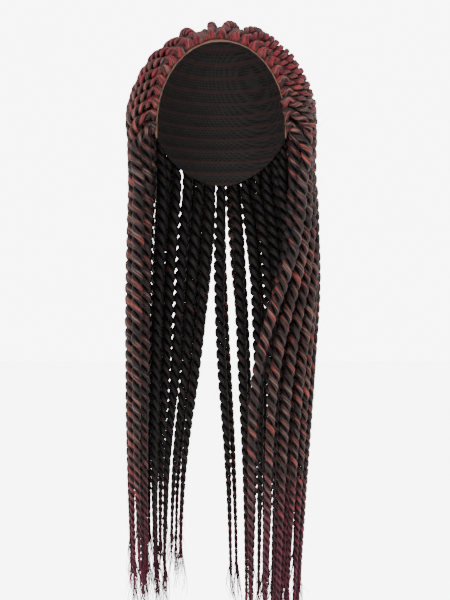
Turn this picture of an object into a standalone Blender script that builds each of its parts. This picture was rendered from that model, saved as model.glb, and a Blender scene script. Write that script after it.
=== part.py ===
# Braid wig: a lace-front wig of long two-strand rope twists, in the form it has when it is worn.
# Metres, +Z up, the face opening towards -Y. The origin is the top of the head hollow.

import math

import bmesh
import bpy
import numpy as np
from mathutils import Vector

# Head hollow
HEAD_HALF_WIDTH = 0.075
HEAD_HALF_DEPTH = 0.094
CROWN_RISE = 0.098  # from the widest level of the head up to the crown
JAW_DROP = 0.150  # how far below the widest level the head form would close
POLE_TILT = math.radians(45)  # the cap's middle lies this far back from the crown

# Cap and lace
CAP_WALL = 0.0015
LACE_WALL = 0.0010
LACE_WIDTH = 0.016
SEAM_GAP = 0.0003
CAP_SEGMENTS = 48
CAP_RINGS = 7
LACE_SEGMENTS = 10  # on each side of the forehead, as wide as the cap's
LACE_ROWS = 2

# Twists
TWIST_DIAMETER = 0.012
TWIST_GAP = 0.0008
FRONT_SETBACK = 0.008  # from the hairline back to the front row's knots
SECOND_SETBACK = 0.032  # from the hairline back to the second row's knots
NAPE_SETBACK = 0.014  # from the nape's edge up to its knots
ROOT_RUN = 0.028  # how far down a low twist lies on the cap before it hangs
LOFT = 0.009  # how far the front twists stand up off the crown
LAYER_STEP = 0.0125  # from one layer of twists to the next
FRONT_HANG_TURN = 64.0  # degrees from the face to the foremost hanging twist
NAPE_HANG = 0.45  # share of the way from there to the middle of the back where the nape row is
NAPE_RISE = 0.2  # share of that way over which the upper rows climb over the nape row

# Hanging hair
EAR_DROP = 0.105  # from the crown down to where the twists start to hang
HAIR_DROP = 0.625  # from the crown down to the longest tips
FALL_HALF_WIDTH = 0.101  # from the middle to the outermost twists
FALL_HALF_DEPTH = 0.126  # back to the middle of the outermost twists
TIP_SPREAD = 0.045  # how unevenly the tips end
LEFT_TIP_LIFT = 0.030  # how much higher the left side ends
BACK_TIP_LIFT = 0.050  # how much higher the twists from the forehead end, behind

# Points and sides of a twist's tube
HEAD_SAMPLES = 24  # of a route as it is laid out, on the head and below it
HANG_SAMPLES = 40
TUBE_POINTS = 15
ROUNDING = 16  # passes that round the turn where a twist leaves the head
HEAD_POINT_SHARE = 2.0  # how much closer the points are on the head than below it
TUBE_RESOLUTION = 1  # six sides
ROOT_SEAT = 0.93  # share of the radius where the side of a six-sided tube lies on the cap

# Pushing the routes apart
PASSES = 500
PAIRS_EVERY = 15
PUSH = 0.7  # share of a shortfall that one pass makes good on each side
PAIR_REACH = 0.010
FOLLOW = 0.03  # pull of a route back to where it was laid out
STIFFNESS = 0.10  # how much a point's move follows those of its neighbours
SPREAD = 0.30  # how much of a push reaches the next points of the same twist
SPREAD_UNTIL = 0.8  # share of the passes after which each point moves on its own
LEAST_WEIGHT = 0.5  # keeps a touch near one end of a segment from moving its far end
CAP_PUSH = 0.6  # share of a twist's depth in the cap that one pass lifts it
CAP_STATIONS = (0.0, 0.25, 0.5, 0.75)  # where along a segment its depth in the cap is taken
TOUCH_SEARCHES = ((0.0, 0), (0.5, 2), (1.0, 0))  # start along a segment, and steps from there

# The cap's outline: degrees of turn round the cap's middle from the forehead to the nape, and
# degrees out from the cap's middle to the edge
OUTLINE = (
    # turn, reach
    (0.0, 79.3),
    (12.7, 79.5),
    (25.3, 81.9),
    (37.3, 86.5),
    (48.5, 92.9),
    (59.1, 100.7),
    (69.2, 109.5),
    (75.0, 113.5),
    (80.0, 110.0),
    (84.5, 97.0),
    (90.0, 86.5),
    (98.0, 81.5),
    (110.0, 76.5),
    (130.0, 71.0),
    (150.0, 67.5),
    (180.0, 66.0),
)

# How thick a twist is, by the share of its length from the tip
TAPER = (
    # from tip, share of the diameter
    (0.00, 0.28),
    (0.08, 0.36),
    (0.18, 0.52),
    (0.30, 0.70),
    (0.48, 0.94),
    (0.60, 1.00),
    (0.90, 1.00),
    (0.96, 0.80),
    (1.00, 0.62),
)

# Plan of the hanging hair on each side: an arc from its front edge, round its outer side, to
# its back edge. Drops are shares of the way from the ears to the longest tips, x shares of
# FALL_HALF_WIDTH and y shares of FALL_HALF_DEPTH.
LEFT_PLAN = (
    # drop, front x, front y, bend x, bend y, back x, back y
    (0.00, -0.84, -0.32, -1.22, 0.95, 0.00, 1.00),
    (0.22, -0.83, -0.30, -1.38, 0.82, 0.00, 0.86),
    (0.45, -0.84, -0.28, -1.36, 0.55, -0.14, 0.74),
    (0.70, -0.84, -0.25, -1.32, 0.40, -0.34, 0.58),
    (1.00, -0.80, -0.20, -1.26, 0.36, -0.38, 0.48),
)
RIGHT_PLAN = (
    # drop, front x, front y, bend x, bend y, back x, back y
    (0.00, 0.84, -0.32, 1.22, 0.95, 0.00, 1.00),
    (0.22, 0.74, -0.41, 1.56, 0.62, 0.02, 0.86),
    (0.45, 0.27, -0.64, 1.70, -0.10, 0.12, 0.68),
    (0.70, 0.20, -0.71, 1.55, -0.20, 0.20, 0.44),
    (1.00, 0.20, -0.69, 1.38, -0.20, 0.24, 0.36),
)

# Rows of twists, with their counts on the left and on the right. Roots lie at a setback from the
# cap's outline, evenly spaced on each side from the outer turn to that side's inner turn, in
# degrees, with the gaps at the outer end, the left inner end and the right inner end as shares
# of the spacing. The second row lies between the twists of the front row, and its last twist on
# the right, like the nape's, lies in the middle. Hang runs from the front edge of a side, 0, to
# the middle of the back, 1. Layer 0 is the outermost.
ROWS = (
    # name, left, right, gaps, setback, outer turn, inner turns, first hang, layer
    ("front", 10, 13, (0.5, 0.5, 0.5), FRONT_SETBACK, 75.0, (-13.0, -13.0), 0.00, 0),
    ("second", 9, 13, (1.0, 1.0, 0.0), SECOND_SETBACK, 75.0, (-13.0, -13.0), 0.00, 1),
    ("nape", 6, 7, (0.5, 1.0, 0.0), NAPE_SETBACK, 104.0, (-180.0, 180.0), NAPE_HANG, 2),
)

GOLDEN_SHARE = (math.sqrt(5) - 1) / 2  # spreads the tips' drops evenly, in no visible order
LACE_END_TURN = LACE_SEGMENTS * 360.0 / CAP_SEGMENTS
HEAD_CENTRE = Vector((0.0, 0.0, -CROWN_RISE))


def smooth_lookup(x, table, column):
    """Read a column of a table at x, along a smooth curve through its rows."""
    xs = np.array([row[0] for row in table])
    ys = np.array([row[column] for row in table])
    slopes = np.gradient(ys, xs)
    x = np.clip(x, xs[0], xs[-1])
    i = np.clip(np.searchsorted(xs, x, side="right") - 1, 0, len(xs) - 2)
    step = xs[i + 1] - xs[i]
    t = (x - xs[i]) / step
    rise = 3 * t**2 - 2 * t**3
    lean_in = t * (1 - t) ** 2 * slopes[i]
    lean_out = t**2 * (t - 1) * slopes[i + 1]
    return ys[i] * (1 - rise) + ys[i + 1] * rise + step * (lean_in + lean_out)


def ease(x):
    """Smooth rise from 0 to 1 while x goes from 0 to 1."""
    x = np.clip(x, 0.0, 1.0)
    return 3 * x**2 - 2 * x**3


def direction(turn, reach):
    """Unit directions, from the turn round the cap's middle and the reach from it, in degrees."""
    turn, reach = np.radians(turn), np.radians(reach)
    along = np.cos(reach)
    sideways = np.sin(reach) * np.sin(turn)
    forward = np.sin(reach) * np.cos(turn)
    back_part, up_part = math.sin(POLE_TILT), math.cos(POLE_TILT)
    back = along * back_part - forward * up_part
    up = along * up_part + forward * back_part
    return np.stack([sideways, back, up], axis=-1)


def on_head(directions, height):
    """Points in these unit directions, at a height above the wall of the head hollow."""
    up = directions[..., 2]
    sizes = np.empty(directions.shape)
    sizes[..., 0] = HEAD_HALF_WIDTH + height
    sizes[..., 1] = HEAD_HALF_DEPTH + height
    sizes[..., 2] = np.where(up > 0, CROWN_RISE, JAW_DROP) + height
    points = directions * sizes
    points[..., 2] -= CROWN_RISE
    return points


def degrees_on_head(length):
    """Angle that a length covers on the head form."""
    return math.degrees(length / ((HEAD_HALF_WIDTH + HEAD_HALF_DEPTH + CROWN_RISE) / 3))


def outline_reach(turn):
    """Reach of the outer edge of the cap and its lace."""
    return smooth_lookup(np.abs(turn), OUTLINE, 1)


def cap_reach(turn):
    """Reach of the cap alone, which stops at the lace along the hairline."""
    lace = degrees_on_head(LACE_WIDTH + SEAM_GAP)
    half_segment = 180.0 / CAP_SEGMENTS
    return outline_reach(turn) - np.where(np.abs(turn) < LACE_END_TURN + half_segment, lace, 0.0)


def new_material(name, colour, roughness):
    material = bpy.data.materials.new(name)
    material.use_nodes = True
    shader = material.node_tree.nodes["Principled BSDF"]
    shader.inputs["Base Color"].default_value = (*colour, 1.0)
    shader.inputs["Roughness"].default_value = roughness
    material.diffuse_color = (*colour, 1.0)
    return material


def add_object(name, data, material, collection):
    data.materials.append(material)
    thing = bpy.data.objects.new(name, data)
    collection.objects.link(thing)
    return thing


def add_shell(name, grid, places, thickness, material, collection):
    """Lay a flat or round grid on the given places and give it a wall outwards."""
    for vert, place in zip(grid.verts, places):
        vert.co = place
    bmesh.ops.recalc_face_normals(grid, faces=grid.faces)
    grid.faces.ensure_lookup_table()
    face = grid.faces[0]
    if face.normal.dot(face.calc_center_median() - HEAD_CENTRE) < 0:
        bmesh.ops.reverse_faces(grid, faces=grid.faces)
    mesh = bpy.data.meshes.new(name)
    grid.to_mesh(mesh)
    grid.free()
    mesh.shade_smooth()
    thing = add_object(name, mesh, material, collection)
    wall = thing.modifiers.new("Wall", "SOLIDIFY")
    wall.thickness = thickness
    wall.offset = 1.0
    wall.use_even_offset = True
    return thing


def make_cap(material, collection):
    """Half a sphere whose rings are stretched out to the cap's edge and laid on the head."""
    grid = bmesh.new()
    bmesh.ops.create_uvsphere(grid, u_segments=CAP_SEGMENTS, v_segments=2 * CAP_RINGS, radius=1.0)
    half_ring = 0.5 * math.sin(math.pi / (2 * CAP_RINGS))
    below = [v for v in grid.verts if v.co.z < -half_ring]
    bmesh.ops.delete(grid, geom=below, context="VERTS")
    corners = np.array([v.co[:] for v in grid.verts])
    turn = np.degrees(np.arctan2(corners[:, 0], corners[:, 1]))
    share = np.arccos(np.clip(corners[:, 2], -1.0, 1.0)) / (math.pi / 2)
    places = on_head(direction(turn, share * cap_reach(turn)), 0.0)
    add_shell("cap", grid, places, CAP_WALL, material, collection)


def make_lace(material, collection):
    """A strip from ear tab to ear tab, between the cap's front edge and the hairline."""
    grid = bmesh.new()
    bmesh.ops.create_grid(grid, x_segments=2 * LACE_SEGMENTS, y_segments=LACE_ROWS, size=1.0)
    corners = np.array([v.co[:] for v in grid.verts])
    turn = corners[:, 0] * LACE_END_TURN
    inward = (1 - corners[:, 1]) / 2 * degrees_on_head(LACE_WIDTH)
    places = on_head(direction(turn, outline_reach(turn) - inward), CAP_WALL - LACE_WALL)
    add_shell("lace_front", grid, places, LACE_WALL, material, collection)


def root_places(shares, side, setback, outer, inner):
    """Unit directions of roots, at even shares of the way along the cap's outline."""
    turn = np.linspace(side * outer, inner, 20 * LACE_SEGMENTS)
    places = direction(turn, outline_reach(turn) - degrees_on_head(setback))
    line = on_head(places, CAP_WALL)
    steps = np.linalg.norm(np.diff(line, axis=0), axis=1)
    along = np.concatenate([[0.0], np.cumsum(steps)])
    turn = np.interp(shares * along[-1], along, turn)
    return direction(turn, outline_reach(turn) - degrees_on_head(setback))


def plan_place(plan, drop, hang, inward):
    """Place in the plan of the hanging hair, at a drop and a share of the way round a side."""
    front = np.stack([smooth_lookup(drop, plan, 1), smooth_lookup(drop, plan, 2)], axis=-1)
    bend = np.stack([smooth_lookup(drop, plan, 3), smooth_lookup(drop, plan, 4)], axis=-1)
    back = np.stack([smooth_lookup(drop, plan, 5), smooth_lookup(drop, plan, 6)], axis=-1)
    sizes = np.array([FALL_HALF_WIDTH, FALL_HALF_DEPTH])
    place = (front * (1 - hang) ** 2 + bend * 2 * hang * (1 - hang) + back * hang**2) * sizes
    along = ((bend - front) * (1 - hang) + (back - bend) * hang) * sizes
    along /= np.linalg.norm(along, axis=-1, keepdims=True)
    side = np.sign(plan[0][1])
    return place + inward * side * np.stack([-along[..., 1], along[..., 0]], axis=-1)


def lay_route(side, root, hang, layer, tip_drop):
    """Fine route of one twist: over the head from its root, then down to its tip."""
    over = np.linspace(0.0, 1.0, HEAD_SAMPLES)
    azimuth = math.radians(FRONT_HANG_TURN + (180.0 - FRONT_HANG_TURN) * hang)
    leave_drop = max(EAR_DROP, ROOT_RUN - on_head(root, CAP_WALL)[2])
    up = (CROWN_RISE - leave_drop) / JAW_DROP
    level = math.sqrt(1 - up**2)
    leave = np.array([side * level * math.sin(azimuth), -level * math.cos(azimuth), up])
    swing = math.acos(np.clip(root @ leave, -1.0, 1.0))
    bearings = np.outer(np.sin((1 - over) * swing), root) + np.outer(np.sin(over * swing), leave)
    bearings /= np.linalg.norm(bearings, axis=1, keepdims=True)
    heights = np.full(len(over), CAP_WALL + SEAM_GAP + TWIST_DIAMETER / 2)
    if layer == 0:
        heights += LOFT * np.sin(over * math.pi) + LAYER_STEP * ease(over)
    if layer < 2:
        heights += LAYER_STEP * ease((hang - NAPE_HANG) / NAPE_RISE) * ease(2 * over - 1)
    head = np.empty((len(over), 3))
    for i, height in enumerate(heights):
        head[i] = on_head(bearings[i], height)
    plan = LEFT_PLAN if side < 0 else RIGHT_PLAN
    falls = np.linspace(0.0, 1.0, HANG_SAMPLES)[1:]
    start = head[-1]
    z = start[2] + falls * (-tip_drop - start[2])
    drop = (-EAR_DROP - z) / (HAIR_DROP - EAR_DROP)
    hanging = plan_place(plan, drop, hang, layer * LAYER_STEP)
    take_over = ease(drop / plan[1][0])[:, None]
    flat = start[:2] * (1 - take_over) + hanging * take_over
    route = np.vstack([head, np.column_stack([flat, z])])
    for _ in range(ROUNDING):
        route[1:-1] += (route[2:] + route[:-2] - 2 * route[1:-1]) / 4
    return route


def spaced_points(route):
    """A few points along a fine route, closer together on the head than below it."""
    steps = np.linalg.norm(np.diff(route, axis=0), axis=1)
    above = (route[1:, 2] > -EAR_DROP) * (HEAD_POINT_SHARE - 1) + 1
    along = np.concatenate([[0.0], np.cumsum(steps * above)])
    wanted = np.linspace(0.0, along[-1], TUBE_POINTS)
    return np.column_stack([np.interp(wanted, along, route[:, k]) for k in range(3)])


def twist_radii(points):
    """Radius at each point, by its share of the length from the tip."""
    steps = np.linalg.norm(np.diff(points, axis=0), axis=1)
    along = np.concatenate([[0.0], np.cumsum(steps)])
    return smooth_lookup(1 - along / along[-1], TAPER, 1) * TWIST_DIAMETER / 2


def lay_all_routes():
    """Names and laid out points of every twist."""
    names, routes = [], []
    for name, left, right, gaps, setback, outer, inner, first_hang, layer in ROWS:
        sides = ((-1, left, gaps[1], inner[0], "left"), (1, right, gaps[2], inner[1], "right"))
        for side, count, last_gap, inner_turn, word in sides:
            shares = (np.arange(count) + gaps[0]) / (count + gaps[0] + last_gap - 1)
            roots = root_places(shares, side, setback, outer, inner_turn)
            for i, (share, root) in enumerate(zip(shares, roots)):
                hang = first_hang + (1 - first_hang) * share
                uneven = (GOLDEN_SHARE * (len(names) + 1)) % 1.0
                tip_drop = HAIR_DROP - TIP_SPREAD * uneven - LEFT_TIP_LIFT * (side < 0)
                tip_drop -= BACK_TIP_LIFT * hang**2 * (layer == 0)
                names.append(f"twist_{name}_{word}_{i + 1:02d}")
                routes.append(spaced_points(lay_route(side, root, hang, layer, tip_drop)))
    return names, np.array(routes)


def near_pairs(points, radii):
    """Pairs of segments of different twists that are near enough to touch soon."""
    count, spans = points.shape[0], points.shape[1] - 1
    starts, ends = points[:, :-1].reshape(-1, 3), points[:, 1:].reshape(-1, 3)
    middles = (starts + ends) / 2
    reach = np.linalg.norm(ends - starts, axis=1) / 2 + radii[:, :-1].reshape(-1)
    apart = np.linalg.norm(middles[:, None] - middles[None], axis=2)
    near = apart < reach[:, None] + reach[None] + PAIR_REACH
    twist = np.repeat(np.arange(count), spans)
    near &= twist[:, None] < twist[None]
    first, second = np.nonzero(near)
    return first // spans * (spans + 1) + first % spans, second // spans * (spans + 1) + second % spans


def nearest_on(points, starts, ends):
    """Share along each segment of the place nearest to a point."""
    run = ends - starts
    return np.clip(((points - starts) * run).sum(1) / (run * run).sum(1), 0.0, 1.0)


def contacts(flat, sizes, first, second):
    """Where pairs of tapered segments come nearest: shares along both, way apart, shortfall."""
    found = []
    a0, a1, b0, b1 = flat[first], flat[first + 1], flat[second], flat[second + 1]
    for swap in (False, True):
        p0, p1, q0, q1 = (b0, b1, a0, a1) if swap else (a0, a1, b0, b1)
        for share, tries in TOUCH_SEARCHES:
            s = np.full(len(first), share)
            t = nearest_on(p0 + (p1 - p0) * s[:, None], q0, q1)
            for _ in range(tries):
                s = nearest_on(q0 + (q1 - q0) * t[:, None], p0, p1)
                t = nearest_on(p0 + (p1 - p0) * s[:, None], q0, q1)
            found.append((t, s) if swap else (s, t))
    s = np.concatenate([f[0] for f in found])
    t = np.concatenate([f[1] for f in found])
    i, j = np.tile(first, len(found)), np.tile(second, len(found))
    way = flat[i] * (1 - s)[:, None] + flat[i + 1] * s[:, None]
    way -= flat[j] * (1 - t)[:, None] + flat[j + 1] * t[:, None]
    apart = np.linalg.norm(way, axis=1)
    need = sizes[i] * (1 - s) + sizes[i + 1] * s + sizes[j] * (1 - t) + sizes[j + 1] * t + TWIST_GAP
    return i, j, s, t, way / np.maximum(apart, 1e-9)[:, None], need - apart


def height_on_head(points):
    """Height above the cap's outer face, and the way up from it, near enough for pushing."""
    from_centre = points + np.array([0.0, 0.0, CROWN_RISE])
    rise = np.where(from_centre[..., 2] > 0, CROWN_RISE, JAW_DROP) + CAP_WALL
    sizes = np.empty(points.shape)
    sizes[..., 0] = HEAD_HALF_WIDTH + CAP_WALL
    sizes[..., 1] = HEAD_HALF_DEPTH + CAP_WALL
    sizes[..., 2] = rise
    scale = np.linalg.norm(from_centre / sizes, axis=-1)
    slope = from_centre / sizes**2
    steep = np.linalg.norm(slope, axis=-1)
    return scale * (scale - 1) / steep, slope / steep[..., None]


def push_apart(points, radii):
    """Move the points of the routes until no two twists touch and none enters the cap."""
    laid = points.copy()
    count, spans = points.shape[0], points.shape[1] - 1
    sizes = radii.reshape(-1)
    for turn in range(PASSES):
        flat = points.reshape(-1, 3)
        if turn % PAIRS_EVERY == 0:
            first, second = near_pairs(points, radii)
        i, j, s, t, way, short = contacts(flat, sizes, first, second)
        hit = short > 0
        moves = np.zeros(flat.shape)
        weight = np.zeros(len(flat))
        for index, share, sign in ((i, 1 - s, 1), (i + 1, s, 1), (j, 1 - t, -1), (j + 1, t, -1)):
            part = share[hit]
            np.add.at(moves, index[hit], way[hit] * (sign * part * short[hit] * PUSH)[:, None])
            np.add.at(weight, index[hit], part)
        moves /= np.maximum(weight, LEAST_WEIGHT)[:, None]
        for share in CAP_STATIONS:
            on_way = points[:, :-1] * (1 - share) + points[:, 1:] * share
            size = radii[:, :-1] * (1 - share) + radii[:, 1:] * share
            height, out = height_on_head(on_way)
            sunk = np.clip(size + 2 * SEAM_GAP - height, 0.0, None)[..., None] * out
            lift = np.zeros(points.shape)
            lift[:, :-1] += sunk * (1 - share)
            lift[:, 1:] += sunk * share
            moves += lift.reshape(-1, 3) * CAP_PUSH
        moves = moves.reshape(points.shape)
        shift = points - laid
        moves[:, 1:-1] += STIFFNESS * ((shift[:, 2:] + shift[:, :-2]) / 2 - shift[:, 1:-1])
        moves = moves.reshape(-1, 3)
        settle = 1 - turn / PASSES
        moves += (laid.reshape(-1, 3) - flat) * FOLLOW * settle
        moves = moves.reshape(points.shape)
        if turn < SPREAD_UNTIL * PASSES:
            shared = moves.copy()
            shared[:, 1:] += SPREAD * moves[:, :-1]
            shared[:, :-1] += SPREAD * moves[:, 1:]
            moves = shared / (1 + SPREAD)
        points = points + moves
        height, out = height_on_head(points[:, 0])
        way = points[:, 1] - points[:, 0]
        rise = (way * out).sum(1) / np.linalg.norm(way, axis=1)
        seat = ROOT_SEAT * radii[:, 0] * np.sqrt(1 - rise**2) + SEAM_GAP
        points[:, 0] += (seat - height)[:, None] * out
    return points


def make_twist(name, points, radii, material, collection):
    """One rope twist as a tapered tube with closed ends."""
    curve = bpy.data.curves.new(name, "CURVE")
    curve.dimensions = "3D"
    curve.bevel_depth = TWIST_DIAMETER / 2
    curve.bevel_resolution = TUBE_RESOLUTION
    curve.use_fill_caps = True
    spline = curve.splines.new("POLY")
    spline.points.add(len(points) - 1)
    spline.points.foreach_set("co", np.column_stack([points, np.ones(len(points))]).ravel())
    spline.points.foreach_set("radius", radii / (TWIST_DIAMETER / 2))
    spline.use_smooth = True
    add_object(name, curve, material, collection)


def main():
    for old in list(bpy.data.objects):
        bpy.data.objects.remove(old, do_unlink=True)
    collection = bpy.data.collections.new("braid_wig")
    bpy.context.scene.collection.children.link(collection)
    make_cap(new_material("cap_net", (0.02, 0.017, 0.016), 0.85), collection)
    make_lace(new_material("lace_net", (0.45, 0.29, 0.19), 0.8), collection)
    names, points = lay_all_routes()
    radii = np.array([twist_radii(route) for route in points])
    points = push_apart(points, radii)
    hair = {
        "front": new_material("front_hair", (0.23, 0.03, 0.04), 0.55),
        "second": new_material("second_hair", (0.10, 0.02, 0.03), 0.55),
        "nape": new_material("nape_hair", (0.02, 0.02, 0.02), 0.6),
    }
    for name, route, sizes in zip(names, points, radii):
        make_twist(name, route, sizes, hair[name.split("_")[1]], collection)


main()
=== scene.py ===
# Braid wig: two-strand rope twists in black and burgundy hair on a lace-front net cap.
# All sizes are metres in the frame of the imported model. The open front faces -Y.
import bpy
import bmesh
import numpy as np
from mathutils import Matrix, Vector


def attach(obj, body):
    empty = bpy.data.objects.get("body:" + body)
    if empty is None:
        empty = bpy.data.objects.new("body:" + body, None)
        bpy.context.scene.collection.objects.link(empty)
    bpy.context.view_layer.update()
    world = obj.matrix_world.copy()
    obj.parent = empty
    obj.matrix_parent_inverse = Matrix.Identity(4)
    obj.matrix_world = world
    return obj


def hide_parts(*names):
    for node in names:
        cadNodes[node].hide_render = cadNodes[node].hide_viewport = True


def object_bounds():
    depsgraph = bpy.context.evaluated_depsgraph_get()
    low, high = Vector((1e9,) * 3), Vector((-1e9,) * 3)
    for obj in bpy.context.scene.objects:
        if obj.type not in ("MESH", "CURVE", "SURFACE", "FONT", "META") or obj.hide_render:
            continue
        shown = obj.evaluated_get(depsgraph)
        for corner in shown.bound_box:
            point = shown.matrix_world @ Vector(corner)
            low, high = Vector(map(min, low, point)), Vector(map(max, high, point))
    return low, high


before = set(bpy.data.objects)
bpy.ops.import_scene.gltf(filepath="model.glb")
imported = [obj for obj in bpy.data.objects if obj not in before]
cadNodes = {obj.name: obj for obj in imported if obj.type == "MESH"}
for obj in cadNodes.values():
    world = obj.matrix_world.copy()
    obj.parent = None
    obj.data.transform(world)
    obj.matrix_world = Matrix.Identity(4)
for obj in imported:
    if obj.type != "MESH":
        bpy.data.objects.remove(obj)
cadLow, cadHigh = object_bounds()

twistNames = sorted(name for name in cadNodes if name.startswith("twist_"))
print("frame loaded,", len(twistNames), "twists")


# Puts a camera or a lamp at its place, with its view along the line to the target.
def placeAndAim(thing, place, target):
    thing.location = place
    sightLine = Vector(target) - Vector(place)
    thing.rotation_euler = sightLine.to_track_quat("-Z", "Y").to_euler()
    bpy.context.scene.collection.objects.link(thing)


# Camera, standing where the photograph was taken from

viewpoint = {
    "place": (0.004, -1.25, -0.284),
    "aim": (0.004, 0.0, -0.284),
    "lens": 69.4,
}

cameraData = bpy.data.cameras.new("camera")
cameraData.lens = viewpoint["lens"]
cameraObject = bpy.data.objects.new("camera", cameraData)
placeAndAim(cameraObject, viewpoint["place"], viewpoint["aim"])
bpy.context.scene.camera = cameraObject
print("camera placed")


# Small helpers for shapes

# Vectors scaled to length one.
def unit(vectors):
    return vectors / np.linalg.norm(vectors, axis=-1, keepdims=True)


# Goes from 0 to 1 between two values, slow at both ends: 3t^2 - 2t^3.
def ease(values, start, end):
    t = np.clip((np.asarray(values, float) - start) / (end - start), 0.0, 1.0)
    return t * t * (3.0 - 2.0 * t)


# The distance along a path at each of its points: the sum of the steps up to there.
def distancesAlong(points):
    steps = np.linalg.norm(np.diff(points, axis=0), axis=1)
    return np.concatenate([[0.0], np.cumsum(steps)])


# A smooth path through given points: a cubic between each two of them, whose slope at a
# point comes from its neighbours. Gives the value at each distance along the path.
def alongPath(points, distances, at):
    slopes = np.gradient(points, distances, axis=0)
    k = np.clip(np.searchsorted(distances, at, side="right") - 1, 0, len(distances) - 2)
    gap = (distances[k + 1] - distances[k])[:, None]
    t = (at - distances[k])[:, None] / gap
    return (
        (2 * t**3 - 3 * t**2 + 1) * points[k]
        + (t**3 - 2 * t**2 + t) * gap * slopes[k]
        + (3 * t**2 - 2 * t**3) * points[k + 1]
        + (t**3 - t**2) * gap * slopes[k + 1]
    )


# Two directions square to a path: up is the given way less its part along the path, and
# across is the cross product of the path's own direction and up.
def squareTo(path, s, way):
    along = unit(np.gradient(path, s, axis=0))
    up = unit(way - (way * along).sum(1, keepdims=True) * along)
    return up, np.cross(along, up)


# The angles of a ring's points, equal steps round from its lowest point.
def ringAngles(sides):
    return np.linspace(0.0, 2.0 * np.pi, sides + 1)[:-1] + np.pi


# Full size all along, closing at both ends: the square root of the start's share times the
# end's. Each share grows with the distance from its end, between the least one and 1.
def closing(share, startRate, endRate, least):
    start = np.clip(share * startRate, least, 1.0)
    end = np.clip((1.0 - share) * endRate, least, 1.0)
    return np.sqrt(start * end)


# Where the pattern lies on a tube: the width that is laid once round it, and the distance
# along it.
def strandPlaces(sides, wrapWidth, along):
    seam = np.linspace(0.0, 1.0, sides + 1) * wrapWidth
    return np.stack(np.broadcast_arrays(seam[None], along[:, None]), -1)


# Marks that are the same all over a tube.
def evenMarks(crest, warm, lot):
    marks = {"crest": crest, "warm": warm, "lot": lot}
    return {key: np.full((1, 1), value) for key, value in marks.items()}


# A round tube along a path: each point is the path's, plus the size times (cosine of the
# angle times up, plus sine of the angle times across).
def roundTube(path, s, way, size, look, marks):
    up, across = squareTo(path, s, way)
    around = ringAngles(look["sides"])
    ring = np.cos(around)[:, None] * up[:, None] + np.sin(around)[:, None] * across[:, None]
    grid = path[:, None] + size[:, None, None] * ring
    return {"grid": grid, "place": strandPlaces(look["sides"], look["wrapWidth"], s), "marks": marks}


# The dome that the cap follows: an ellipsoid whose lower half is longer than its upper half.
dome = {
    "centre": np.array([0.0, 0.0, -0.098]),
    "halfWidth": 0.075,
    "halfDepth": 0.094,
    "rise": 0.098,
    "drop": 0.150,
}


# How far out a point lies: the length of its shares of the dome's half sizes, so 1 on the
# dome and less inside.
def domeLevel(points):
    away = points - dome["centre"]
    height = np.where(away[..., 2] > 0.0, dome["rise"], dome["drop"])
    width = np.full_like(height, dome["halfWidth"])
    depth = np.full_like(height, dome["halfDepth"])
    return np.linalg.norm(away / np.stack([width, depth, height], axis=-1), axis=-1)


# Points moved along their line from the dome's centre until they stand on the dome.
def ontoDome(points):
    level = domeLevel(points)[..., None]
    return dome["centre"] + (points - dome["centre"]) / level


# The way out of the dome at a point: the point less its place on the dome's upright axis,
# scaled to one. That place is never above the centre, so the way slants up over the crown,
# and goes straight sideways below the centre.
def outward(points):
    axis = np.zeros_like(points)
    axis[..., 2] = np.minimum(points[..., 2], dome["centre"][2])
    return unit(points - axis)


capMiddle = unit(np.array([0.0, 1.0, 1.0]))  # seen from the dome's centre: up and back


# Along the dome, away from the cap's middle, which is towards the nearest edge of the cap:
# the way to the middle less its part that points out of the dome, turned round.
def towardsEdge(points):
    out = unit(points - dome["centre"])
    return unit(-(capMiddle - (out @ capMiddle)[..., None] * out))


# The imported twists, which are round tubes made of rings of corners
cadTube = {
    "corners": 6,
    "mergeWithin": 0.00002,
}


# The centre line and the radius of a packed twist. Its corners are merged, the lowest ones
# are the ring at the tip, and each next ring is what the edges reach from the last. A
# ring's centre is the mean of its corners, its radius their mean distance from that.
def centreLine(node):
    joined = bmesh.new()
    joined.from_mesh(node.data)
    bmesh.ops.remove_doubles(joined, verts=joined.verts, dist=cadTube["mergeWithin"])
    joined.verts.index_update()
    corners = np.array([vertex.co for vertex in joined.verts])
    edges = np.array([[end.index for end in edge.verts] for edge in joined.edges])
    joined.free()
    touching = np.zeros((len(corners), len(corners)), bool)
    touching[edges[:, 0], edges[:, 1]] = True
    touching |= touching.T
    ring = np.full(len(corners), -1)
    ring[np.argsort(corners[:, 2])[:cadTube["corners"]]] = 0
    while (ring < 0).any():
        reached = touching[ring >= 0].any(0) & (ring < 0)
        ring[reached] = ring.max() + 1
    centres, radii = [], []
    for k in range(ring.max() + 1):
        own = corners[ring == k]
        centres.append(own.mean(0))
        radii.append(np.linalg.norm(own - own.mean(0), axis=1).mean())
    return np.array(centres)[::-1], np.array(radii)[::-1]


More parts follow.
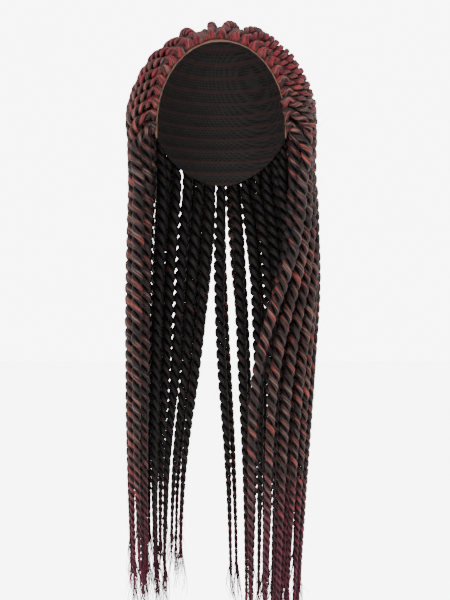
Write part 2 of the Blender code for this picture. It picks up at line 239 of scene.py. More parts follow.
# Puts closed tubes into one mesh. Each tube is a grid of rings by sides; neighbours on the
# grid make a quad, and a point in the middle of each end ring closes it.
# Marks are one number for each grid point, kept as an attribute of the mesh.
def addTubes(name, tubes, material):
    points, quads, fans, quadPlaces, fanPlaces, marks = [], [], [], [], [], {}
    first = 0
    for tube in tubes:
        grid, place = tube["grid"], tube["place"]
        rings, sides = grid.shape[:2]
        startPoint = first + rings * sides
        endPoint = startPoint + 1
        index = first + np.arange(rings * sides).reshape(rings, sides)
        wrapped = np.concatenate([index, index[:, :1]], axis=1)
        quad = np.stack([wrapped[:-1, :-1], wrapped[:-1, 1:], wrapped[1:, 1:], wrapped[1:, :-1]], -1)
        quadPlace = np.stack([place[:-1, :-1], place[:-1, 1:], place[1:, 1:], place[1:, :-1]], -2)
        fans.append(np.stack([np.full(sides, startPoint), wrapped[0, 1:], wrapped[0, :-1]], -1))
        fans.append(np.stack([np.full(sides, endPoint), wrapped[-1, :-1], wrapped[-1, 1:]], -1))
        fanPlaces.append(np.stack([place[0, :-1], place[0, 1:], place[0, :-1]], -2))
        fanPlaces.append(np.stack([place[-1, :-1], place[-1, :-1], place[-1, 1:]], -2))
        points += [grid.reshape(-1, 3), grid[0].mean(0)[None], grid[-1].mean(0)[None]]
        quads.append(quad.reshape(-1, 4))
        quadPlaces.append(quadPlace.reshape(-1, 2))
        for key, values in tube["marks"].items():
            whole = np.broadcast_to(values, (rings, sides))
            atEnds = [whole[0].mean(), whole[-1].mean()]
            marks.setdefault(key, []).append(np.concatenate([whole.ravel(), atEnds]))
        first = endPoint + 1
    quads, fans = np.concatenate(quads), np.concatenate(fans)
    mesh = bpy.data.meshes.new(name)
    mesh.from_pydata(np.concatenate(points).tolist(), [], quads.tolist() + fans.tolist())
    places = np.concatenate([np.concatenate(quadPlaces), np.concatenate(fanPlaces).reshape(-1, 2)])
    mesh.uv_layers.new(name="strand").data.foreach_set("uv", places.astype(np.float32).ravel())
    for key, values in marks.items():
        layer = mesh.attributes.new(key, "FLOAT", "POINT")
        layer.data.foreach_set("value", np.concatenate(values).astype(np.float32))
    mesh.polygons.foreach_set("use_smooth", np.ones(len(mesh.polygons), bool))
    mesh.materials.append(material)
    piece = bpy.data.objects.new(name, mesh)
    bpy.context.scene.collection.objects.link(piece)
    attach(piece, "root")
    return piece


# Small helpers for materials

# A new material with its node tree and its shader.
def newMaterial(name):
    material = bpy.data.materials.new(name)
    material.use_nodes = True
    return material, material.node_tree, material.node_tree.nodes["Principled BSDF"]


# One shader node with its settings, and its inputs given as numbers or as other outputs.
def addNode(tree, kind, inputs=None, **settings):
    node = tree.nodes.new(kind)
    for key, value in settings.items():
        setattr(node, key, value)
    for key, value in (inputs or {}).items():
        if isinstance(value, bpy.types.NodeSocket):
            tree.links.new(value, node.inputs[key])
        else:
            node.inputs[key].default_value = value
    return node


# The two values joined by one operation of arithmetic.
def addMath(tree, operation, first, second):
    return addNode(tree, "ShaderNodeMath", {0: first, 1: second}, operation=operation).outputs[0]


# Two values, each times its share, added up.
def addBlend(tree, first, firstShare, second, secondShare):
    one = addMath(tree, "MULTIPLY", first, firstShare)
    other = addMath(tree, "MULTIPLY", second, secondShare)
    return addMath(tree, "ADD", one, other)


# A colour between two, by a share. The node's inputs 6 and 7 are its two colours.
def addMix(tree, share, first, second):
    inputs = {"Factor": share, 6: first, 7: second}
    return addNode(tree, "ShaderNodeMix", inputs, data_type="RGBA").outputs[2]


# Goes from the new low to the new high as the value goes from low to high, slow at both ends.
def addRange(tree, value, low, high, newLow=0.0, newHigh=1.0):
    inputs = {"Value": value, "From Min": low, "From Max": high, "To Min": newLow, "To Max": newHigh}
    return addNode(tree, "ShaderNodeMapRange", inputs, interpolation_type="SMOOTHSTEP").outputs[0]


# Hair finishes, one for each row of twists. Locks, fibres and patches are noises, each
# given by its cells across and along, and its detail. The second and nape rows are darker
# copies of the front row, a painted shade for the hair that hangs further back.

frontHair = {
    "black": (0.0085, 0.0075, 0.0075, 1.0),
    "burgundy": (0.086, 0.005, 0.011, 1.0),
    "brown": (0.058, 0.024, 0.022, 1.0),
    # highlight, dusty and bright colour the pale streaks: pale fibres, and on the outermost crests a
    # painted highlight
    "highlight": (0.260, 0.050, 0.040, 1.0),
    "dusty": (0.145, 0.078, 0.066, 1.0),
    "plum": (0.110, 0.012, 0.032, 1.0),
    "darkPlum": (0.030, 0.005, 0.010, 1.0),
    "bright": (0.160, 0.014, 0.020, 1.0),
    # painted shade: the near-black given to hair that lies deep in the twist, between its two strands
    "paintedGrooveShade": (0.0032, 0.0024, 0.0026, 1.0),
    "locks": (520.0, 60.0, 2.0),
    "fibres": (1500.0, 60.0, 3.0),
    "patches": (40.0, 45.0, 1.0),
    "paintedHighlight": 0.15,       # painted highlight: how much paler the hair on each strand's outermost crest is painted
    "paleFrom": 0.572,
    "rough": 0.48,
    "gloss": 0.16,
    "sheen": 0.01,
    "sheenRough": 0.4,
    "relief": 0.0010,
    "reliefStrength": 0.9,
}
# painted shade: the front hair made darker, with fewer pale streaks, for the second row
secondHairPaintedShade = dict(
    frontHair,
    burgundy=(0.085, 0.006, 0.010, 1.0),
    brown=(0.040, 0.017, 0.016, 1.0),
    highlight=(0.190, 0.038, 0.032, 1.0),
    bright=(0.140, 0.008, 0.015, 1.0),
    paleFrom=0.60,
)
# painted shade: the front hair made much darker, with fewer pale streaks, for the nape row at the back
napeHairPaintedShade = dict(
    frontHair,
    burgundy=(0.028, 0.005, 0.007, 1.0),
    brown=(0.014, 0.007, 0.007, 1.0),
    highlight=(0.070, 0.022, 0.020, 1.0),
    dusty=(0.040, 0.026, 0.024, 1.0),
    bright=(0.075, 0.008, 0.014, 1.0),
    paleFrom=0.61,
)

# How noises and marks become colour, alike on all hair. Pairs are where a change starts
# and where it is complete.
dyeing = {
    "noiseRoughness": 0.6,
    "locksShare": 0.55,
    "fibresShare": 0.45,
    "warmMiddle": 0.5,           # the mark "warm" at which black and dye are in balance
    "warmPull": 0.34,            # what more or less of it adds to the streaks
    "warmPullPale": 0.5,         # how much of that reaches the pale streaks
    "red": (0.41, 0.54),
    # crest levels over which the painted highlight comes in on the outermost hair
    "outermost": (0.92, 1.02),
    "paleWidth": 0.12,
    "dust": (0.40, 0.56),
    "bright": (0.45, 0.70),
    "burgundy": (0.42, 0.80),
    "plumBelow": (0.40, 0.58),   # metres under the origin
    # crest levels over which the painted groove shade gives way to the hair's colour
    "paintedGrooveShade": (0.35, 0.90),
    "roughBetween": (0.3, 0.7),
    "lessRough": 0.10,
    "moreRough": 0.12,
    "reliefShare": 0.5,
}


# Hair: fibres run along the strand, so noise is squeezed across it and drawn out along it.
# Locks are a wide noise and fibres a fine one; added up, they colour the hair and raise it.
# The mark "warm" says how much dye is in the hair, "crest" how far out it lies, and "lot"
# where in the noise its strand starts. By "crest" the hair gets a painted shade deep between
# the strands and a painted highlight on the outermost crest, besides its pale fibres.
# Low down, where the tips hang, both dyes turn to plum.
def hairMaterial(name, look):
    material, tree, shader = newMaterial(name)
    place = addNode(tree, "ShaderNodeUVMap", uv_map="strand").outputs[0]
    parts = addNode(tree, "ShaderNodeSeparateXYZ", {0: place})
    warm = addNode(tree, "ShaderNodeAttribute", attribute_name="warm").outputs["Fac"]
    crest = addNode(tree, "ShaderNodeAttribute", attribute_name="crest").outputs["Fac"]
    lot = addNode(tree, "ShaderNodeAttribute", attribute_name="lot").outputs["Fac"]

    # Noise at the strand's own place, times the cells across and along, one slice for each lot.
    def noise(across, along, detail):
        x = addMath(tree, "MULTIPLY", parts.outputs[0], across)
        y = addMath(tree, "MULTIPLY", parts.outputs[1], along)
        spot = addNode(tree, "ShaderNodeCombineXYZ", {0: x, 1: y, 2: lot}).outputs[0]
        inputs = {"Vector": spot, "Scale": 1.0, "Detail": detail, "Roughness": dyeing["noiseRoughness"]}
        return addNode(tree, "ShaderNodeTexNoise", inputs).outputs["Fac"]

    locks = noise(*look["locks"])
    fibres = noise(*look["fibres"])
    patches = noise(*look["patches"])
    streak = addBlend(tree, locks, dyeing["locksShare"], fibres, dyeing["fibresShare"])
    warmer = addMath(tree, "SUBTRACT", warm, dyeing["warmMiddle"])
    bias = addMath(tree, "MULTIPLY", warmer, dyeing["warmPull"])
    red = addRange(tree, addMath(tree, "ADD", streak, bias), *dyeing["red"])
    # Painted highlight: hair on each strand's outermost crest is painted paler, added to the dye's pull
    # on the pale streaks.
    outermost = addRange(tree, crest, *dyeing["outermost"])
    lit = addBlend(tree, outermost, look["paintedHighlight"], bias, dyeing["warmPullPale"])
    paleTo = look["paleFrom"] + dyeing["paleWidth"]
    pale = addRange(tree, addMath(tree, "ADD", streak, lit), look["paleFrom"], paleTo)
    tint = addMix(tree, addRange(tree, patches, *dyeing["dust"]), look["highlight"], look["dusty"])
    tint = addMix(tree, addRange(tree, warm, *dyeing["bright"]), tint, look["bright"])
    dye = addMix(tree, addRange(tree, warm, *dyeing["burgundy"]), look["brown"], look["burgundy"])
    inSpace = addNode(tree, "ShaderNodeTexCoord").outputs["Object"]
    height = addNode(tree, "ShaderNodeSeparateXYZ", {0: inSpace}).outputs[2]
    tips = addRange(tree, addMath(tree, "MULTIPLY", height, -1.0), *dyeing["plumBelow"])
    tint = addMix(tree, tips, tint, look["plum"])
    dye = addMix(tree, tips, dye, look["darkPlum"])
    colour = addMix(tree, red, look["black"], dye)
    colour = addMix(tree, pale, colour, tint)
    # Painted shade in the grooves: hair close to the twist's middle turns to the groove colour.
    colour = addMix(tree, addRange(tree, crest, *dyeing["paintedGrooveShade"]), look["paintedGrooveShade"], colour)
    tree.links.new(colour, shader.inputs["Base Color"])
    smoothest, roughest = look["rough"] - dyeing["lessRough"], look["rough"] + dyeing["moreRough"]
    rough = addRange(tree, fibres, *dyeing["roughBetween"], smoothest, roughest)
    tree.links.new(rough, shader.inputs["Roughness"])
    shader.inputs["Specular IOR Level"].default_value = look["gloss"]
    shader.inputs["Sheen Weight"].default_value = look["sheen"]
    shader.inputs["Sheen Roughness"].default_value = look["sheenRough"]
    raised = addBlend(tree, locks, dyeing["reliefShare"], fibres, dyeing["reliefShare"])
    inputs = {"Strength": look["reliefStrength"], "Distance": look["relief"], "Height": raised}
    relief = addNode(tree, "ShaderNodeBump", inputs)
    tree.links.new(relief.outputs[0], shader.inputs["Normal"])
    return material


hairOf = {
    "front": ("front_hair", hairMaterial("front_hair", frontHair)),
    "second": ("second_hair", hairMaterial("second_hair", secondHairPaintedShade)),
    "nape": ("nape_hair", hairMaterial("nape_hair", napeHairPaintedShade)),
}
lotRange = (0.0, 40.0)       # where in the noise a strand may start
print("hair finishes made")


# The row that a twist stands in is the second word of its name.
def rowOf(name):
    return name.split("_")[1]


# One piece for each row, of the tubes that tubesOf makes for each of its twists.
def addForEachRow(pieceName, seed, tubesOf):
    for row, (slot, material) in hairOf.items():
        draw = np.random.default_rng(seed)
        tubes = [tube for name in twistNames if rowOf(name) == row for tube in tubesOf(name, draw)]
        addTubes(pieceName + row, tubes, material)


# Rope twists

rope = {
    "pitch": 0.0252,         # length of one whole turn where the twist is full
    "fullDiameter": 0.012,
    "ringsPerTurn": 11,
    "moreRings": 8,
    "steps": 400,            # steps along the twist in which its turns are added up
    "sides": 10,
    "strandOffset": 0.50,    # strand's middle from the twist's middle, as a share of its radius
    "strandDepth": 0.52,     # half the strand's size towards the middle, likewise
    "strandWidth": 0.74,     # half its size round the twist, likewise
    "endLength": 0.006,      # over which a strand closes at each end
    "endLeast": 0.02,
    "unevenness": 0.06,
    "waves": (95.0, 211.0, 37.0),        # of the strand's thickness, radians a metre
    "waveShares": (0.5, 0.3, 0.4),
    "waveBase": 0.6,
    "wrapWidth": 0.022,      # pattern that is laid once round a strand
    "warmApart": 0.12,       # difference in dye between the two strands
    "lotApart": 7.3,
    "seed": 700,
}

# How much dye shows, from 0 to 1, with pairs for the heights where a change starts and ends
ropeDye = {
    # Less dye in the second and nape rows, which leaves them blacker: painted shade for the rows further
    # back.
    "base": {"front": 0.33, "second": 0.29, "nape": 0.20},
    "own": (-0.12, 0.12),
    "crown": 0.33,
    "crownHeight": (-0.150, -0.015),
    "tips": 0.32,
    "tipsDepth": (0.40, 0.58),
}


# A rope's dye is its row's, plus its own, plus more towards the crown and towards the tips.
def warmth(row, draw):
    plain = ropeDye["base"][row] + draw.uniform(*ropeDye["own"])

    # The plain dye plus the crown's share and the tips' share, each eased in by height.
    def at(path):
        crown = ease(path[:, 2], *ropeDye["crownHeight"])
        tips = ease(-path[:, 2], *ropeDye["tipsDepth"])
        return plain + ropeDye["crown"] * crown + ropeDye["tips"] * tips

    return at


# A two-strand rope along a path. At distance s each strand's middle stands at an angle of
# minus the turns made so far, which gives the left-handed lay of the photograph, and the
# strand's section is an ellipse, wider round the rope than towards its middle. A turn is
# longer on a thick rope, by the root of its diameter, and three sine waves along the
# strand make it uneven.
def twistTubes(centres, radii, row, draw):
    warmAt = warmth(row, draw)
    distances = distancesAlong(centres)
    whole = distances[-1]
    steps = np.linspace(0.0, whole, rope["steps"])
    stepRadius = np.interp(steps, distances, radii)
    pitch = rope["pitch"] * np.sqrt(2.0 * stepRadius / rope["fullDiameter"])
    turns = np.concatenate([[0.0], np.cumsum(np.diff(steps) / (0.5 * (pitch[1:] + pitch[:-1])))])
    rings = int(turns[-1] * rope["ringsPerTurn"]) + rope["moreRings"]
    s = np.interp(np.linspace(0.0, turns[-1], rings), turns, steps)
    turn = np.interp(s, steps, turns)
    path = alongPath(centres, distances, s)
    radius = np.interp(s, distances, radii)
    out, across = squareTo(path, s, outward(path))
    ends = np.sqrt(np.clip(np.minimum(s, whole - s) / rope["endLength"], rope["endLeast"], 1.0))
    size = (radius * ends)[:, None]
    around = ringAngles(rope["sides"])
    tubes = []
    startAngle = draw.uniform(0.0, 2.0 * np.pi)
    lot = draw.uniform(*lotRange)
    for strand in range(2):
        angle = startAngle + np.pi * strand - 2.0 * np.pi * turn
        starts = draw.uniform(0.0, 2.0 * np.pi, len(rope["waves"]))
        waves = np.sin(s[:, None] * np.array(rope["waves"]) + starts) @ np.array(rope["waveShares"])
        swell = 1.0 + rope["unevenness"] * (waves - rope["waveBase"])[:, None]
        outOfRope = np.cos(angle)[:, None] * out + np.sin(angle)[:, None] * across
        roundRope = -np.sin(angle)[:, None] * out + np.cos(angle)[:, None] * across
        deep = size * (rope["strandOffset"] + rope["strandDepth"] * swell * np.cos(around))
        wide = size * rope["strandWidth"] * swell * np.sin(around)
        offset = deep[..., None] * outOfRope[:, None] + wide[..., None] * roundRope[:, None]
        marks = {
            # crest: how far out from the rope's middle; by it the hair material paints shade in the
            # grooves and a highlight on the outermost crests
            "crest": np.linalg.norm(offset, axis=-1) / radius[:, None],
            "warm": warmAt(path)[:, None] + rope["warmApart"] * (strand - 0.5),
            "lot": np.full((1, 1), lot + rope["lotApart"] * strand),
        }
        place = strandPlaces(rope["sides"], rope["wrapWidth"], s)
        tubes.append({"grid": path[:, None] + offset, "place": place, "marks": marks})
    return tubes


lines = {name: centreLine(cadNodes[name]) for name in twistNames}
for number, name in enumerate(twistNames):
    ropeSlot, ropeMaterial = hairOf[rowOf(name)]
    tubes = twistTubes(*lines[name], rowOf(name), np.random.default_rng(rope["seed"] + number))
    piece = addTubes(name.replace("twist", "rope"), tubes, ropeMaterial)
    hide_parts(name)
print("rope twists made")


# Root strands: the hair combed from the hairline, or from the parting, into each twist

rootStrand = {
    "each": 13,
    "reach": {"front": 0.0082, "second": 0.0125, "nape": 0.0070},    # from knot to start
    "shortest": 0.82,        # of that reach
    "halfWidth": 0.0072,
    "aboveDome": 0.0019,
    "overWidth": 0.75,       # over the knot, as shares of the twist's radius
    "overHeight": (0.55, 0.85),
    "sidesLower": 0.8,
    "endWidth": 0.5,         # inside the twist, likewise
    "endHeight": 0.35,
    "intoTwist": 0.014,
    "thick": 0.00125,
    "thickRange": (0.75, 1.15),
    "closing": (5.0, 6.0, 0.06),
    "rings": 10,
    "sides": 6,
    "wrapWidth": 0.008,
    # crest level for the painted highlight and painted groove shade: 1 takes the full highlight
    "crest": 1.0,
    # less dye in the second and nape rows: painted shade for the rows further back
    "warm": {"front": 0.64, "second": 0.55, "nape": 0.30},
    "warmRange": (-0.45, 0.30),
    "lessAtEars": 0.30,
    "earsHeight": (-0.12, -0.02),
    "seed": 31,
}


# Thin strands side by side on the dome at the edge, which close up over the knot and run on
# into the twist. Each is a round tube through three points: at the edge, over the knot and
# in the twist. The outer ones lie lower, by the root of 1 less a share of their spread squared.
def rootTubes(name, draw):
    centres, radii = lines[name]
    row = rowOf(name)
    knot, radius = centres[0], radii[0]
    run = unit(centres[1] - centres[0])
    way = towardsEdge(knot[None])[0]
    out = outward(knot[None])[0]
    side = np.cross(way, out)
    atEars = 1.0 - ease(knot[2], *rootStrand["earsHeight"])
    rowWarm = rootStrand["warm"][row] - rootStrand["lessAtEars"] * atEars
    tubes = []
    for k in range(rootStrand["each"]):
        spread = 2.0 * (k + 0.5) / rootStrand["each"] - 1.0
        lower = np.sqrt(1.0 - spread**2 * rootStrand["sidesLower"])
        reach = rootStrand["reach"][row] * draw.uniform(rootStrand["shortest"], 1.0)
        start = knot + way * reach + side * spread * rootStrand["halfWidth"]
        start = ontoDome(start[None])[0] + out * rootStrand["aboveDome"]
        height = radius * lower * draw.uniform(*rootStrand["overHeight"])
        over = knot + side * spread * radius * rootStrand["overWidth"] + out * height
        end = knot + run * rootStrand["intoTwist"] + side * spread * radius * rootStrand["endWidth"]
        end = end + out * radius * rootStrand["endHeight"] * lower
        points = np.array([start, over, end])
        distances = distancesAlong(points)
        s = np.linspace(0.0, distances[-1], rootStrand["rings"])
        path = alongPath(points, distances, s)
        size = rootStrand["thick"] * draw.uniform(*rootStrand["thickRange"])
        size = size * closing(s / distances[-1], *rootStrand["closing"])
        warm = rowWarm + draw.uniform(*rootStrand["warmRange"])
        marks = evenMarks(rootStrand["crest"], warm, draw.uniform(*lotRange))
        tubes.append(roundTube(path, s, out, size, rootStrand, marks))
    return tubes


addForEachRow("root_strands_", rootStrand["seed"], rootTubes)


# Under locks: a lock under the first stretch of each front twist, which stands up off the dome

underLock = {
    "above": -0.045,         # only under twists whose knots are higher than this
    "length": 0.042,
    "height": 0.0055,
    "radius": 0.0050,
    "endPower": 4,
    "endLeast": 0.02,
    "rings": 14,
    "sides": 12,
    "wrapWidth": 0.022,
    # crest level below 1: some painted groove shade and no painted highlight, for a lock under the twist
    "crest": 0.8,
    "warm": 0.62,
    "warmRange": (-0.1, 0.1),
    "seed": 43,
}


# A round tube whose path is the twist's own, laid down onto the dome at a fixed height. Its
# size is the root of 1 less a power of the distance from its middle, which rounds its ends.
def underTube(centres, draw):
    s = np.linspace(0.0, underLock["length"], underLock["rings"])
    above = alongPath(centres, distancesAlong(centres), s)
    out = outward(above)
    path = ontoDome(above) + out * underLock["height"]
    fromMiddle = 2.0 * s / s[-1] - 1.0
    rounded = np.clip(1.0 - fromMiddle ** underLock["endPower"], underLock["endLeast"], 1.0)
    warm = underLock["warm"] + draw.uniform(*underLock["warmRange"])
    marks = evenMarks(underLock["crest"], warm, draw.uniform(*lotRange))
    return roundTube(path, s, out, underLock["radius"] * np.sqrt(rounded), underLock, marks)


frontTwists = [name for name in twistNames if rowOf(name) == "front"]
frontSlot, frontMaterial = hairOf["front"]
underDraw = np.random.default_rng(underLock["seed"])
highLines = [lines[name][0] for name in frontTwists if lines[name][0][0][2] > underLock["above"]]
underTubes = [underTube(centres, underDraw) for centres in highLines]
addTubes("under_locks", underTubes, frontMaterial)
print("root strands made")


# Crown strands: combed hair that fills the gaps between the front twists where they stand up

crownStrand = {
    "each": 11,
    "above": -0.075,         # only between knots that are higher than this
    "reach": 0.0080,         # from the knots to the start
    "stations": (0.005, 0.014, 0.026, 0.040, 0.054),     # distances along both twists
    "sink": (0.001, 0.0015, 0.002, 0.003, 0.008),        # and how far under them it lies there
    "startHalfWidth": 0.0060,
    "aboveDome": 0.0019,
    "twistHalf": 0.0035,     # kept free beside the middle of each twist
    "halfWidth": (0.0008, 0.0075),
    "shift": (-0.08, 0.08),
    "sidesLower": 0.0022,
    "lower": (0.0, 0.0014),
    "thick": 0.0016,
    "thickRange": (0.75, 1.15),
    "closing": (6.0, 6.0, 0.05),
    "rings": 16,
    "sides": 6,
    "wrapWidth": 0.010,
    # crest level: a little of the painted highlight and no painted groove shade
    "crest": 0.95,
    "warm": 0.66,
    "warmRange": (-0.45, 0.25),
    "seed": 67,
}


# Strands side by side along the middle line between two twists: from the hairline up to the
# height of the twists, back between them, and down out of sight. Each is a round tube, and
# lies lower by its spread squared.
def crownTubes(first, second, draw):
    stations = np.array(crownStrand["stations"])
    one = alongPath(first, distancesAlong(first), stations)
    other = alongPath(second, distancesAlong(second), stations)
    across = other - one
    gap = np.linalg.norm(across, axis=1, keepdims=True)
    across = across / gap
    middle = (one + other) / 2.0
    out = outward(middle)
    middle = middle - out * np.array(crownStrand["sink"])[:, None]
    room = np.clip(gap * 0.5 - crownStrand["twistHalf"], *crownStrand["halfWidth"])
    knot = (first[0] + second[0]) / 2.0
    base = knot + towardsEdge(knot[None])[0] * crownStrand["reach"]
    tubes = []
    for k in range(crownStrand["each"]):
        spread = 2.0 * (k + 0.5) / crownStrand["each"] - 1.0 + draw.uniform(*crownStrand["shift"])
        start = base + across[0] * spread * crownStrand["startHalfWidth"]
        start = ontoDome(start[None])[0] + out[0] * crownStrand["aboveDome"]
        lower = out * (spread**2 * crownStrand["sidesLower"] + draw.uniform(*crownStrand["lower"]))
        points = np.vstack([start[None], middle + across * spread * room - lower])
        distances = distancesAlong(points)
        s = np.linspace(0.0, distances[-1], crownStrand["rings"])
        path = alongPath(points, distances, s)
        size = crownStrand["thick"] * draw.uniform(*crownStrand["thickRange"])
        size = size * closing(s / distances[-1], *crownStrand["closing"])
        warm = crownStrand["warm"] + draw.uniform(*crownStrand["warmRange"])
        marks = evenMarks(crownStrand["crest"], warm, draw.uniform(*lotRange))
        tubes.append(roundTube(path, s, outward(path), size, crownStrand, marks))
    return tubes


crownDraw = np.random.default_rng(crownStrand["seed"])
leftTwists = [name for name in frontTwists if "_left_" in name]
rightTwists = [name for name in frontTwists if "_right_" in name]
hairline = [lines[name][0] for name in leftTwists + rightTwists[::-1]]
strandsOfCrown = []
for first, second in zip(hairline[:-1], hairline[1:]):
    if (first[0][2] + second[0][2]) / 2.0 > crownStrand["above"]:
        strandsOfCrown += crownTubes(first, second, crownDraw)
addTubes("crown_strands", strandsOfCrown, frontMaterial)
print("crown strands made")


# Fine hairs, alike in wisps, flyaways and baby hairs

fineHair = {
    "sides": 3,
    "tipShare": 0.75,        # of the thickness that is lost on the way to the tip
    "curlPower": 1.4,
    "bends": (1.5, 5.0),     # radians of the curl's wave from start to tip
    "wrapWidth": 0.002,
    "patternLength": 0.05,
    # crest level for the painted highlight and painted groove shade: 1 takes the full highlight
    "crest": 1.0,
}


# Thin three-sided tubes, many at once. Each runs from its start along its direction, leaves
# it sideways in two sine waves whose height grows with a power of the distance, and narrows
# evenly to its tip.
def hairTubes(starts, ways, lengths, curls, radii, warm, joints, draw):
    count = len(starts)
    t = np.linspace(0.0, 1.0, joints)
    side = unit(np.cross(ways, draw.normal(size=(count, 3))))
    other = np.cross(ways, side)
    phase = draw.uniform(0.0, 2.0 * np.pi, (count, 2))
    curl = curls[:, None] * t ** fineHair["curlPower"]
    swing = curl * np.sin(phase[:, :1] + t * draw.uniform(*fineHair["bends"], (count, 1)))
    sway = curl * np.sin(phase[:, 1:] + t * draw.uniform(*fineHair["bends"], (count, 1)))
    paths = starts[:, None] + ways[:, None] * (lengths[:, None] * t)[..., None]
    paths = paths + swing[..., None] * side[:, None] + sway[..., None] * other[:, None]
    around = np.linspace(0.0, 2.0 * np.pi, fineHair["sides"] + 1)[:-1]
    size = radii[:, None] * (1.0 - fineHair["tipShare"] * t)
    ring = np.cos(around)[:, None] * side[:, None, None] + np.sin(around)[:, None] * other[:, None, None]
    grids = paths[:, :, None] + size[..., None, None] * ring
    place = strandPlaces(fineHair["sides"], fineHair["wrapWidth"], t * fineHair["patternLength"])
    marks = [
        evenMarks(fineHair["crest"], ownWarm, ownLot)
        for ownWarm, ownLot in zip(warm, draw.uniform(*lotRange, count))
    ]
    return [{"grid": grid, "place": place, "marks": own} for grid, own in zip(grids, marks)]


# Wisps: the loose ends below each twist, a few thick ones and many fine ones

wisp = {
    "thick": 5,
    "fine": 9,
    "thickRadius": 0.00090,
    "fineRadius": 0.00040,
    "before": (0.004, 0.030),    # how far before the twist's end they start
    "apart": 0.0006,
    "stray": 0.05,
    "length": (0.032, 0.068),
    "curl": (0.0020, 0.0100),
    "lowest": cadLow[2] - 0.021,
    "leastFall": 0.3,
    "warm": (0.45, 0.85),
    "joints": 8,
    "seed": 57,
}


# Each starts near the twist's end line, goes on its way with a little stray, and is cut to
# the height that is left above the lowest level, over its fall for each unit of length.
def wispTubes(name, draw):
    centres = lines[name][0]
    count = wisp["thick"] + wisp["fine"]
    run = unit(centres[-1] - centres[-2])
    starts = centres[-1] - run * draw.uniform(*wisp["before"], (count, 1))
    starts = starts + draw.normal(size=(count, 3)) * wisp["apart"]
    ways = unit(run + draw.normal(size=(count, 3)) * wisp["stray"])
    lengths = draw.uniform(*wisp["length"], count)
    fall = np.clip(-ways[:, 2], wisp["leastFall"], 1.0)
    lengths = np.minimum(lengths, (starts[:, 2] - wisp["lowest"]) / fall)
    curls = draw.uniform(*wisp["curl"], count)
    radii = np.where(np.arange(count) < wisp["thick"], wisp["thickRadius"], wisp["fineRadius"])
    warm = draw.uniform(*wisp["warm"], count)
    return hairTubes(starts, ways, lengths, curls, radii, warm, wisp["joints"], draw)


addForEachRow("end_wisps_", wisp["seed"], wispTubes)
print("end wisps made")


# Flyaways: single hairs that stand off the twists

flyaway = {
    "each": {"front": 46, "second": 26, "nape": 22},
    "between": (0.02, 0.97),     # shares of the twist's length
    "lookAhead": 0.004,
    "depth": 0.55,               # where they start, as a share of the twist's radius
    "along": (1.0, 1.0, -0.6),
    "lift": (0.3, 0.9),
    "length": (0.008, 0.024),
    "radius": 0.00011,
    "curl": (0.001, 0.004),
    "warm": (0.3, 0.8),
    "joints": 5,
    "seed": 83,
}


# Each starts inside the twist, off its middle line in a random direction, and leaves along
# the sum of the twist's own way, sometimes turned back, and that direction.
def flyawayTubes(name, draw):
    centres, radii = lines[name]
    distances = distancesAlong(centres)
    count = flyaway["each"][rowOf(name)]
    at = np.sort(draw.uniform(*flyaway["between"], count)) * distances[-1]
    path = alongPath(centres, distances, at)
    ahead = alongPath(centres, distances, np.minimum(at + flyaway["lookAhead"], distances[-1]))
    run = unit(ahead - path + 1e-9)  # never of no length
    off = unit(np.cross(run, draw.normal(size=(count, 3))))
    starts = path + off * (np.interp(at, distances, radii) * flyaway["depth"])[:, None]
    onward = run * draw.choice(flyaway["along"], count)[:, None]
    ways = unit(onward + off * draw.uniform(*flyaway["lift"], (count, 1)))
    warm = draw.uniform(*flyaway["warm"], count)
    lengths = draw.uniform(*flyaway["length"], count)
    curls = draw.uniform(*flyaway["curl"], count)
    sizes = np.full(count, flyaway["radius"])
    return hairTubes(starts, ways, lengths, curls, sizes, warm, flyaway["joints"], draw)


addForEachRow("flyaways_", flyaway["seed"], flyawayTubes)
print("flyaways made")


# Baby hairs along the front hairline

babyHair = {
    "each": 14,
    "reach": (0.003, 0.0078),    # from the knot towards the cap's edge
    "halfWidth": (-0.0065, 0.0065),
    "aboveDome": 0.0018,
    "along": (0.8, -1.0, -1.0),  # towards the edge, or back towards the knot
    "lift": 0.25,
    "stray": 0.35,
    "length": (0.003, 0.009),
    "radius": 0.00012,
    "curl": (0.0005, 0.002),
    "warm": (0.4, 0.9),
    "joints": 5,
    "seed": 19,
}


# Each starts on the dome between the knot and the cap's edge, and leaves along the sum of the
# way towards or away from the edge, a share of the way out, and a random stray.
def babyTubes(centres, draw):
    knot = centres[0]
    count = babyHair["each"]
    way = towardsEdge(knot[None])[0]
    out = outward(knot[None])[0]
    side = np.cross(way, out)
    starts = knot + way * draw.uniform(*babyHair["reach"], (count, 1))
    starts = starts + side * draw.uniform(*babyHair["halfWidth"], (count, 1))
    starts = ontoDome(starts) + out * babyHair["aboveDome"]
    onward = way * draw.choice(babyHair["along"], count)[:, None] + out * babyHair["lift"]
    ways = unit(onward + draw.normal(size=(count, 3)) * babyHair["stray"])
    lengths = draw.uniform(*babyHair["length"], count)
    curls = draw.uniform(*babyHair["curl"], count)
    warm = draw.uniform(*babyHair["warm"], count)
    sizes = np.full(count, babyHair["radius"])
    return hairTubes(starts, ways, lengths, curls, sizes, warm, babyHair["joints"], draw)


babyDraw = np.random.default_rng(babyHair["seed"])
babyHairs = [tube for name in frontTwists for tube in babyTubes(lines[name][0], babyDraw)]
addTubes("baby_hairs", babyHairs, frontMaterial)
print("baby hairs made")


# Cap and lace: the frame's own solids in better materials

capNet = {
    "threads": 118.0,        # how close the threads lie, and the sewn tracks
    "tracks": 24.0,
    "gap": (0.004, 0.003, 0.003, 1.0),
    "thread": (0.022, 0.018, 0.018, 1.0),
    "track": (0.030, 0.016, 0.015, 1.0),
    "trackBetween": (0.75, 0.95),
    "threadHeight": 0.4,     # of a track's height
    "rough": 0.75,
    "gloss": 0.25,
    "relief": 0.0012,
    "reliefStrength": 0.7,
}
laceNet = dict(
    capNet,
    threads=420.0,
    tracks=3.0,
    gap=(0.060, 0.030, 0.022, 1.0),
    thread=(0.170, 0.095, 0.065, 1.0),
    track=(0.150, 0.080, 0.058, 1.0),
)


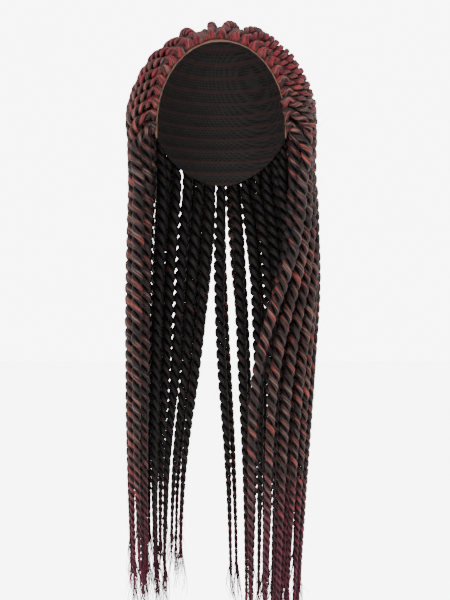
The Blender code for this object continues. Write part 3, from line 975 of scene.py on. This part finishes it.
# Stretch net: the higher of two crossed waves makes the mesh, and a slower wave the tracks
# where the hair is sewn on. Both raise the surface.
def netMaterial(name, look):
    material, tree, shader = newMaterial(name)
    place = addNode(tree, "ShaderNodeTexCoord").outputs["Object"]

    # A sine wave across one direction, with 20 times the scale radians to the metre.
    def ribs(direction, scale):
        inputs = {"Vector": place, "Scale": scale, "Distortion": 0.0, "Detail": 0.0}
        return addNode(tree, "ShaderNodeTexWave", inputs, bands_direction=direction).outputs["Fac"]

    mesh = addMath(tree, "MAXIMUM", ribs("Z", look["threads"]), ribs("DIAGONAL", look["threads"]))
    tracks = ribs("Z", look["tracks"])
    colour = addMix(tree, mesh, look["gap"], look["thread"])
    colour = addMix(tree, addRange(tree, tracks, *look["trackBetween"]), colour, look["track"])
    tree.links.new(colour, shader.inputs["Base Color"])
    shader.inputs["Roughness"].default_value = look["rough"]
    shader.inputs["Specular IOR Level"].default_value = look["gloss"]
    height = addMath(tree, "ADD", addMath(tree, "MULTIPLY", mesh, look["threadHeight"]), tracks)
    inputs = {"Strength": look["reliefStrength"], "Distance": look["relief"], "Height": height}
    relief = addNode(tree, "ShaderNodeBump", inputs)
    tree.links.new(relief.outputs[0], shader.inputs["Normal"])
    return material


netOf = {
    "cap": netMaterial("cap_net", capNet),
    "lace_front": netMaterial("lace_net", laceNet),
}
for name, net in netOf.items():
    cadNodes[name].data.materials.clear()
    cadNodes[name].data.materials.append(net)
print("cap and lace finished")


# Studio: pale floor, white surroundings, soft lights

studio = {
    "floorHeight": -0.72,
    "floorSize": 14.0,
    "floorColour": (0.86, 0.86, 0.86, 1.0),
    "floorRough": 0.9,
    "floorLight": 1.6,       # what the floor sends to the wig
    "floorSeen": 6.4,        # and to the camera
    "skyLight": 1.0,
    "skySeen": 8.0,
    "white": (1.0, 1.0, 1.0, 1.0),
    "lightsAim": (0.0, 0.0, -0.30),
    "lights": {
        "key_light": {"power": 26.0, "size": 1.4, "place": (-0.9, -2.0, 0.9)},
        "fill_light": {"power": 9.0, "size": 1.6, "place": (1.6, -1.5, 0.3)},
        "top_light": {"power": 12.0, "size": 1.2, "place": (0.1, 0.2, 1.6)},
    },
}

for name, light in studio["lights"].items():
    lightData = bpy.data.lights.new(name, "AREA")
    lightData.energy = light["power"]
    lightData.size = light["size"]
    placeAndAim(bpy.data.objects.new(name, lightData), light["place"], studio["lightsAim"])


# A strength with one value where the camera sees the surface, and another for all else.
def addGlow(tree, light, seen):
    cameraRay = addNode(tree, "ShaderNodeLightPath").outputs["Is Camera Ray"]
    return addRange(tree, cameraRay, 0.0, 1.0, light, seen)


half = studio["floorSize"] / 2.0
floorMesh = bpy.data.meshes.new("floor")
floorCorners = [(-half, -half), (half, -half), (half, half), (-half, half)]
floorMesh.from_pydata([(x, y, studio["floorHeight"]) for x, y in floorCorners], [], [(0, 1, 2, 3)])
floor = bpy.data.objects.new("floor", floorMesh)
bpy.context.scene.collection.objects.link(floor)
paint, paintTree, paintShader = newMaterial("floor_paint")
paintShader.inputs["Base Color"].default_value = studio["floorColour"]
paintShader.inputs["Roughness"].default_value = studio["floorRough"]
paintShader.inputs["Emission Color"].default_value = studio["white"]
floorGlow = addGlow(paintTree, studio["floorLight"], studio["floorSeen"])
paintTree.links.new(floorGlow, paintShader.inputs["Emission Strength"])
floorMesh.materials.append(paint)

world = bpy.data.worlds.new("surroundings")
world.use_nodes = True
bpy.context.scene.world = world
sky = world.node_tree.nodes["Background"]
sky.inputs["Color"].default_value = studio["white"]
skyGlow = addGlow(world.node_tree, studio["skyLight"], studio["skySeen"])
world.node_tree.links.new(skyGlow, sky.inputs["Strength"])
print("studio set")
